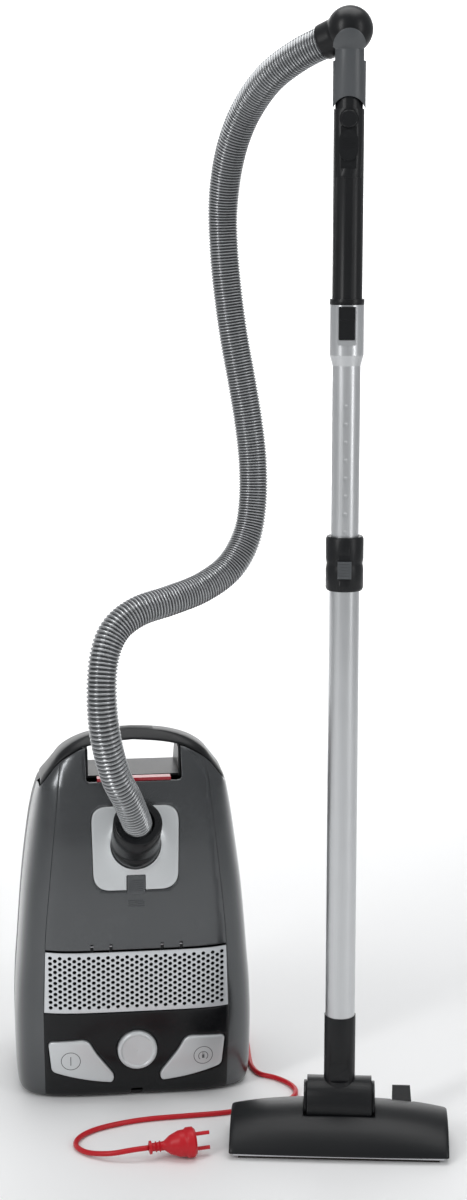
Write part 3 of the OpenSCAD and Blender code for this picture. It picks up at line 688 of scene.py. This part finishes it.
def base_shell():
    th = np.concatenate([[0.00003, 0.003, 0.02, 0.1, 0.3, 0.8, 1.6, 3, 5, 8, 12, 17, 23, 30, 38, 47, 57, 68, 79]])
    td = np.concatenate([th, [90], 180 - th[::-1]])
    z = np.concatenate([[4, 5, 6.5, 9, 13], np.linspace(18, 300, 48), np.linspace(304, 462, 46)])
    Tm, Zm = np.meshgrid(np.radians(td), z)
    A = S_pt(Tm, Zm)
    B = S_pt(Tm, Zm, 3.0)
    o = sheet_from_grids("base_shell_v", A, B)
    # cut to the bumper's arc and the carry gap
    xs = np.linspace(-160, 160, 81)
    top = [(x, float(fBend(abs(x))) - 0.4) for x in xs]
    poly = [(-160, 520)] + top + [(160, 520)]
    o = boolean(o, prism_y("cut1", poly, -150, 150))
    o = boolean(o, prism_y("cut2", round_outline([(-59.5, 414), (59.5, 414), (59.5, 500), (-59.5, 500)], [5, 5, 1, 1]), -150, 150))
    for s in (-1, 1):
        c = lathe("cutw", [(0.01, 0), (43.2, 0), (43.2, 56), (0.01, 56)], 96,
                  Matrix.Translation((s * 0.106 if s > 0 else -0.162, 0.078, 0.075)) @ Matrix.Rotation(math.radians(90), 4, "Y"))
        o = boolean(o, c)
    for x in (-60, 60):
        for zz in (40, 250):
            o = boolean(o, lathe("cuts", [(0.01, 0), (3.6, 0), (3.6, 20), (0.01, 20)], 32,
                                 Matrix.Translation((x / 1000, 0.105, zz / 1000)) @ Matrix.Rotation(math.radians(90), 4, "X")))
    o = boolean(o, lathe("cuts", [(0.01, 0), (6.4, 0), (6.4, 24), (0.01, 24)], 32,
                         Matrix.Translation((0.080, 0.105, 0.038)) @ Matrix.Rotation(math.radians(90), 4, "X")))
    o = boolean(o, lathe("cuts", [(0.01, 0), (4.2, 0), (4.2, 24), (0.01, 24)], 32,
                         Matrix.Translation((0, 0.105, 0.300)) @ Matrix.Rotation(math.radians(90), 4, "X")))
    t = np.radians(np.arange(-178, 180, 3.0))
    pl = S_pt(t, np.full(len(t), 6.0), 3.6)[:, :2]
    n = len(pl)
    V = [(p[0] / 1000, p[1] / 1000, 0.0042) for p in pl] + [(p[0] / 1000, p[1] / 1000, 0.007) for p in pl]
    F = [tuple(range(n - 1, -1, -1)), tuple(range(n, 2 * n))] + [(i, (i + 1) % n, n + (i + 1) % n, n + i) for i in range(n)]
    plate = new_obj("plate", V, F, False)
    return auto_smooth(join("base_shell_v", [o, plate]), 40)


def prism_y(name, poly, y0, y1):
    n = len(poly)
    V = [(p[0] / 1000, y0 / 1000, p[1] / 1000) for p in poly] + [(p[0] / 1000, y1 / 1000, p[1] / 1000) for p in poly]
    F = [tuple(range(n)), tuple(range(2 * n - 1, n - 1, -1))] + [(i, n + i, n + (i + 1) % n, (i + 1) % n) for i in range(n)]
    return new_obj(name, V, F, False)


put(base_shell(), "canister", "black_shell", "base_shell")


# bumper: closed section swept over the arc
def bumper():
    us = np.concatenate([[-115, -114.6, -113.6, -111.5], np.linspace(-109, 109, 110), [111.5, 113.6, 114.6, 115]])
    nv = 26
    v = np.linspace(0, 1, nv) ** 0.85
    secs = []
    for x in us:
        zb, zt = float(fBend(abs(x))) + 0.4, float(fTop(abs(x))) - 0.6
        z = zb + (zt - zb) * v
        f = YF(x, z) - 0.25
        b = YBK(x, z) + 0.25
        r = min(3.0, (zt - zb) * 0.3)
        ease = np.clip((zb + r - z) / r, 0, 1)
        ff = f + r * 0.6 * ease**2
        bb = b - r * 0.6 * ease**2
        secs.append(np.concatenate([np.stack([np.full(nv, x), ff, z], 1), np.stack([np.full(nv, x), bb, z], 1)[::-1]]))
    P = np.array(secs)
    m, n = P.shape[:2]
    F = []
    for i in range(m - 1):
        for k in range(n):
            k2 = (k + 1) % n
            F.append((i * n + k, (i + 1) * n + k, (i + 1) * n + k2, i * n + k2))
    F.append(tuple(range(n)))
    F.append(tuple((m - 1) * n + k for k in range(n - 1, -1, -1)))
    return auto_smooth(new_obj("front_bumper_v", P.reshape(-1, 3) / 1000, F), 45)


put(bumper(), "canister", "black_shell", "front_bumper", mat="wand_black")


# lid outline: up the crease, along the arc, round the carry gap
def lid_outline():
    pts = []
    for z in np.arange(204.6, 425, 4):
        pts.append((float(fX(z)) - 0.4, z))
    zt = 440.0
    for _ in range(40):
        zt = 0.5 * zt + 0.5 * (float(fBend(float(fX(zt)) - 0.4)) - 0.4)
    for z in np.linspace(428, zt, 4):
        pts.append((float(fX(z)) - 0.4, z))
    x0 = float(fX(zt)) - 0.4
    for x in np.arange(x0 - 3, 61, -3):
        pts.append((x, float(fBend(x)) - 0.4))
    pts.append((59.9, float(fBend(59.9)) - 0.4))
    for z in np.arange(452, 421, -3):
        pts.append((59.5, z))
    pts += [(59.1, 419.4), (57.6, 417.4), (55.5, 416.6)]
    for x in np.arange(52, 0, -4):
        pts.append((x, 416.6))
    right = pts
    left = [(-x, z) for x, z in right[::-1]]
    bottom = [(x, 204.6) for x in np.arange(-float(fX(204.6)) + 3.4, float(fX(204.6)) - 3, 4)]
    return np.array(right + [(0, 416.6)] + left + bottom)


PL = round_outline([(-54.5, 387), (54.5, 387), (52.5, 282), (-52.5, 282)], [20, 20, 22, 22], 10)
PL_gap = round_outline([(-55.1, 387.6), (55.1, 387.6), (53.1, 281.4), (-53.1, 281.4)], [20.4, 20.4, 22.4, 22.4], 10)
lid_v = front_piece("lid_v", lid_outline(), [densify(PL_gap, 2.5)], 3.0, edge=0.7, grid=5)
ribs = [front_piece("rib", densify([(-10, 260.2 + i * 2.4), (10, 260.2 + i * 2.4), (10, 261.4 + i * 2.4), (-10, 261.4 + i * 2.4)], 2), [], 1.0,
                    proud=0.6, edge=0.25, grid=3) for i in range(4)]
slots = []
for x in (-57.9, -33.9, 30.1, 54.1):
    V = [Vector((x + 3.8 * a, -140 + 60 * b, 200 + 12.5 * c)) / 1000 for a in (0, 1) for b in (0, 1) for c in (0, 1)]
    slots.append(new_obj("slot", V, [(0, 1, 3, 2), (4, 6, 7, 5), (0, 4, 5, 1), (2, 3, 7, 6), (0, 2, 6, 4), (1, 5, 7, 3)], False))
lid_v = auto_smooth(boolean(lid_v, join("slots", slots)), 50)
put(lid_v, "lid", "grey_metallic", "lid")
put(join("grip_ribs", ribs), "lid", "cover_grey")


def plate_surf(x, z):
    d = np.sqrt(x**2 + (z - 341) ** 2)
    return YF(x, z) - 0.3 - 5.5 * np.exp(-np.maximum(0, d - 31) / 7.5)


PLN = []
for p in densify(PL, 2.5):
    PLN.append(tuple(p))
# notch for the release button in the lower edge
PLN = [p for p in PLN if not (abs(p[0]) < 13.2 and p[1] < 300)]
k = max(range(len(PLN)), key=lambda i: -abs(PLN[i][1] - 282) - abs(PLN[i][0] - 14.5))
notch_pts = [(11.7, 282), (11.7, 286), (11.7, 291), (11.7, 296), (11.7, 300), (10.9, 301.5), (6, 301.5), (0, 301.5), (-6, 301.5), (-10.9, 301.5), (-11.7, 300), (-11.7, 296), (-11.7, 291), (-11.7, 286), (-11.7, 282)]
PLN = PLN[:k + 1] + notch_pts + PLN[k + 1:]
inlet_v = front_piece("inlet_plate_v", np.array(PLN), [circle(0, 341, 31.5, 96)], 4.0, edge=0.7, grid=2.6, surf=plate_surf,
                      back=lambda x, z: YF(x, z) + 3)
put(inlet_v, "lid", "silver_plastic", "inlet_plate")

# control panel
PED = [(112, 82), (67, 85), (60, 81), (52, 66), (40, 50), (31, 38), (29, 31), (32, 24), (55, 27), (82, 33), (108, 41)]


def ped_outline(g=0.0, sgn=1):
    c = round_outline(PED, [6, 5, 9, 16, 20, 10, 5, 4, 14, 14, 6], 8)
    d = densify(c, 2.0)
    t = np.roll(d, -1, 0) - np.roll(d, 1, 0)
    t /= np.maximum(1e-9, np.linalg.norm(t, axis=1))[:, None]
    nn = np.stack([t[:, 1], -t[:, 0]], 1)
    if area2(d) < 0:
        nn = -nn
    d = d + nn * g
    d[:, 0] *= sgn
    return d


cp = []
for z in np.arange(4, 121, 4.5):
    cp.append((float(fX(z)) - 0.4, z))
cp.append((float(fX(120.9)) - 0.4, 120.9))
cp_top = [(x, 120.9) for x in np.arange(112, -113, -4)]
cp_left = [(-x, z) for x, z in cp[::-1]]
cp_bot = [(x, 4) for x in np.arange(-112, -9, 4)] + [(-7.5, 4), (-7.5, 8), (-7.5, 12.5), (-3, 13), (3, 13), (7.5, 12.5), (7.5, 8), (7.5, 4)] + [(x, 4) for x in np.arange(12, 115, 4)]
panel_v = front_piece("control_panel_v", np.array(cp + cp_top + cp_left + cp_bot), [ped_outline(0.8, 1), ped_outline(0.8, -1), circle(0, 70, 25.8, 80)],
                      3.0, edge=0.7, grid=4, hole_edge=1.2)
put(panel_v, "canister", "panel_black", "control_panel")
# painted shade: a near-black sheet behind the pedal gaps and knob hole stands in for the shade inside them
backing = front_piece("panel_shade_sheet", densify([(-113, 10), (113, 10), (113, 118), (-113, 118)], 8), [], 1.0, edge=0, grid=10,
                      surf=lambda x, z: YF(x, z) + 12.5)
put(backing, "canister", "black_shell", mat="hole_shade")

for sgn, nm, nd in ((-1, "power_pedal_v", "power_pedal"), (1, "rewind_pedal_v", "rewind_pedal")):
    ped = front_piece(nm, ped_outline(0, sgn), [], 8.0, proud=3.0, edge=1.8, grid=4)
    put(ped, nd, "silver_plastic", nd)
    parts = []
    cx, cz = sgn * 84, 57
    ring = front_piece("ring", circle(cx, cz, 12.4, 64), [circle(cx, cz, 11.5, 64)], 0.4, proud=3.06, edge=0, grid=50)
    parts.append(ring)
    if sgn < 0:
        parts.append(front_piece("bar", densify([(cx - 0.5, cz - 6), (cx + 0.5, cz - 6), (cx + 0.5, cz + 6), (cx - 0.5, cz + 6)], 1), [], 0.4, proud=3.06, edge=0, grid=50))
    else:
        a = np.linspace(math.radians(-50), math.radians(230), 40)
        arc = np.concatenate([np.stack([cx + 6.4 * np.cos(a), cz - 1 + 6.4 * np.sin(a)], 1), np.stack([cx + 5.5 * np.cos(a[::-1]), cz - 1 + 5.5 * np.sin(a[::-1])], 1)])
        parts.append(front_piece("arc", arc, [], 0.4, proud=3.06, edge=0, grid=50))
        parts.append(front_piece("stem", densify([(cx - 1.6, cz - 4), (cx + 1.6, cz - 4), (cx + 1.6, cz + 1), (cx - 1.6, cz + 1)], 1), [], 0.4, proud=3.06, edge=0, grid=50))
        for q in (-1.1, 0.5):
            parts.append(front_piece("pin", densify([(cx + q, cz + 1.4), (cx + q + 0.6, cz + 1.4), (cx + q + 0.6, cz + 4), (cx + q, cz + 4)], 1), [], 0.4, proud=3.06, edge=0, grid=50))
    icon = join("icon_" + nd, parts)
    # the icon lines are painted dark as the shade of engraved grooves
    put(icon, nd, "silver_plastic", mat="engrave")

# suction knob
yk = float(YF(0, 70))
km = Matrix.Translation((0, yk / 1000, 0.070)) @ Matrix.Rotation(math.radians(90), 4, "X")
knob = lathe("suction_knob_v", rounded([(0.01, -10), (25, -10), (25, 5.2), (22.6, 8), (20.6, 8), (19.6, 6.3), (0.01, 6.3)], 1.0, 4), 128, km)
put(knob, "suction_knob", "silver_plastic", "suction_knob")

# exhaust grille, with its staggered holes
gh = []
for i in range(-9, 10):
    for j in np.arange(-4.5, 5, 1):
        gh.append(circle(i * 12, 161.8 + j * 7.3, 2.5, 16))
for i in range(-9, 9):
    for j in range(-4, 5):
        gh.append(circle(i * 12 + 6, 161.8 + j * 7.3, 2.5, 16))
go = densify([(-116.3, 121.7), (116.3, 121.7), (113.8, 201.4), (-113.8, 201.4)], 4)
grille_v = front_piece("exhaust_grille_v", go, gh, 2.0, edge=0.5, hole_edge=0.0, grid=500)
put(grille_v, "canister", "grille_silver", "exhaust_grille")
# painted shade: a near-black sheet just behind the grille holes stands in for the shade inside them
gb = front_piece("grille_shade_sheet", densify([(-113, 123), (113, 123), (111, 200), (-111, 200)], 8), [], 0.6, edge=0, grid=10,
                 surf=lambda x, z: YF(x, z) + 4.5)
put(gb, "canister", "filter_grey", mat="hole_shade")


# ---------------------------------------------------------------- nozzle housing, lofted as in the CAD and smoothed
WAND = Matrix.Translation((0.236, -0.241, 0)) @ Matrix.Rotation(math.radians(-10), 4, "Z")
NPT = [[36,7.5],[37,14],[36,26],[31,36],[20,43],[4,46.5],[-14,46.5],[-32,42],[-48,34],[-60,25],[-69,16],[-73,10],[-73,7.5]]


def loft_solid(name, G):
    """Closed solid through closed sections G, sections x points x 3 in mm."""
    m, n = G.shape[:2]
    F = [(i * n + k, (i + 1) * n + k, (i + 1) * n + (k + 1) % n, i * n + (k + 1) % n) for i in range(m - 1) for k in range(n)]
    F.append(tuple(range(n - 1, -1, -1)))
    F.append(tuple((m - 1) * n + k for k in range(n)))
    return new_obj(name, G.reshape(-1, 3) / 1000, F)


def box_obj(name, x0, y0, z0, dx, dy, dz, place=None):
    V = [(x0 + dx * a, y0 + dy * b, z0 + dz * c) for a in (0, 1) for b in (0, 1) for c in (0, 1)]
    V = [Vector(v) / 1000 for v in V]
    if place is not None:
        V = [place @ v for v in V]
    return new_obj(name, V, [(0, 1, 3, 2), (4, 6, 7, 5), (0, 4, 5, 1), (2, 3, 7, 6), (0, 2, 6, 4), (1, 5, 7, 3)], False)


def nozzle_housing():
    inv = WAND.inverted()
    pts = np.array([tuple(inv @ v.co) for v in nodes["nozzle_housing"].data.vertices]) * 1000
    half = float(np.abs(pts[:, 0]).max())
    line = curve_points([[p[0], p[1], 0] for p in NPT[1:-1]], 5)[:, :2]
    sec = np.concatenate([[NPT[0]], line, [NPT[-1]]])

    def ring(x, o, drop):
        q = abs(x) / half
        h, b, f = 1 - 0.26 * q**2.5, 1 - 0.24 * q**3, 1 - 0.03 * q * q
        y = np.where(sec[:, 0] > 0, sec[:, 0] * b, sec[:, 0] * f) * (1 - o / 42)
        z = np.where(sec[:, 1] < 8, 7.5 - drop, 7.5 + (sec[:, 1] - 7.5) * h * (1 - o / 38))
        return np.stack([np.full(len(sec), x * (1 - o / half)), y, z], 1)
    xs = np.concatenate([[-half, -half + 0.5, -half + 1.5], np.linspace(-half + 3.5, half - 3.5, 72), [half - 1.5, half - 0.5, half]])
    A = np.array([ring(x, 0.0, 0.0) for x in xs])
    for i, k in ((0, 0.955), (1, 0.975), (2, 0.991), (-3, 0.991), (-2, 0.975), (-1, 0.955)):
        c = A[i][:, 1].mean()
        A[i][:, 1] = c + (A[i][:, 1] - c) * k
        A[i][:, 2] = 7.5 + (A[i][:, 2] - 7.5) * k
    o = loft_solid("nozzle_housing_v", A)
    o.data.transform(WAND)
    axle = WAND @ Matrix.Translation((-0.0433, 0, 0.046)) @ Matrix.Rotation(math.radians(90), 4, "Y")
    # the solid outer form is cut first, and hollowed last
    o = boolean(o, lathe("cutn", [(0, 0), (34, 0), (34, 86.6), (0, 86.6)], 96, axle))
    o = boolean(o, box_obj("cutn", 63, 14.1, 20.1, 27, 40, 40, WAND))
    for sg in (-1, 1):
        o = boolean(o, box_obj("cutn", sg * 95 - 8.13, 18.17, -3, 16.26, 30, 19.9, WAND))
    inner = loft_solid("cutn", np.array([ring(x, 2.5, 5.0) for x in np.linspace(-half, half, 41)]))
    inner.data.transform(WAND)
    o = boolean(o, inner)
    return auto_smooth(bevel(o, 0.0005, 2, 50), 38)


put(nozzle_housing(), "nozzle", "wand_black", "nozzle_housing")

def inner_tube():
    src = nodes["inner_tube"]
    o = bpy.data.objects.new("inner_tube_v", src.data.copy())
    scene.collection.objects.link(o)
    bm = bmesh.new()
    bm.from_mesh(o.data)
    bmesh.ops.remove_doubles(bm, verts=bm.verts, dist=2e-6)
    bmesh.ops.recalc_face_normals(bm, faces=bm.faces)
    bm.to_mesh(o.data)
    bm.free()
    balls = []
    for k in range(8):
        me = bpy.data.meshes.new("dimple")
        bm = bmesh.new()
        bmesh.ops.create_uvsphere(bm, u_segments=32, v_segments=20, radius=0.0060)
        bm.to_mesh(me)
        bm.free()
        b = bpy.data.objects.new("dimple", me)
        me.transform(WAND @ Matrix.Translation((0, -0.0212, (748.3 + 20.6 * k) / 1000)))
        scene.collection.objects.link(b)
        balls.append(b)
    o = boolean(o, join("dimples", balls))
    return auto_smooth(o, 30)


put(inner_tube(), nodes["inner_tube"]["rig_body"], "tube_aluminium", "inner_tube")
nodes["wand_latch"].material_slots[0].material = M["wand_black"]

# small edge rounding on the carried-over CAD pieces that show in front
for nm, w in (("hose_cuff", 0.0009), ("handle_cover", 0.0006), ("handle_grip", 0.0008), ("regulator_cap", 0.0006), ("wand_latch", 0.0008),
              ("telescope_sleeve", 0.0009), ("nozzle_neck", 0.0008), ("nozzle_pedal", 0.0008), ("lid_latch", 0.0008), ("hose_release", 0.0006),
              ("handle_liner", 0.0006), ("plug", 0.0004), ("elbow_ball", 0.0006), ("nozzle_cradle", 0.0005)):
    if nm in nodes:
        w0 = nodes[nm].modifiers.new("weld", "WELD")
        w0.merge_threshold = 0.00002
        b = nodes[nm].modifiers.new("edge", "BEVEL")
        b.width = w
        b.segments = 3
        b.limit_method = "ANGLE"
        b.angle_limit = math.radians(42)
        b.use_clamp_overlap = True
        b.harden_normals = True

# ---------------------------------------------------------------- floor
def cyc():
    prof = [(-7, 0.0), (4.6, 0.0)]
    for a in np.linspace(0, math.pi / 2, 16)[1:]:
        prof.append((4.6 + 1.2 * math.sin(a), 1.2 - 1.2 * math.cos(a)))
    prof.append((5.8, 7))
    V, F = [], []
    for x in (-7, 7):
        for y, z in prof:
            V.append((x, y, z))
    n = len(prof)
    for i in range(n - 1):
        F.append((i, i + 1, n + i + 1, n + i))
    return new_obj("studio_floor", V, F)


floor = cyc()
fm = bpy.data.materials.new("pale_floor")
fm.use_nodes = True
fm.node_tree.nodes["Principled BSDF"].inputs["Base Color"].default_value = (0.90, 0.90, 0.90, 1)
fm.node_tree.nodes["Principled BSDF"].inputs["Roughness"].default_value = 0.55
floor.data.materials.append(fm)
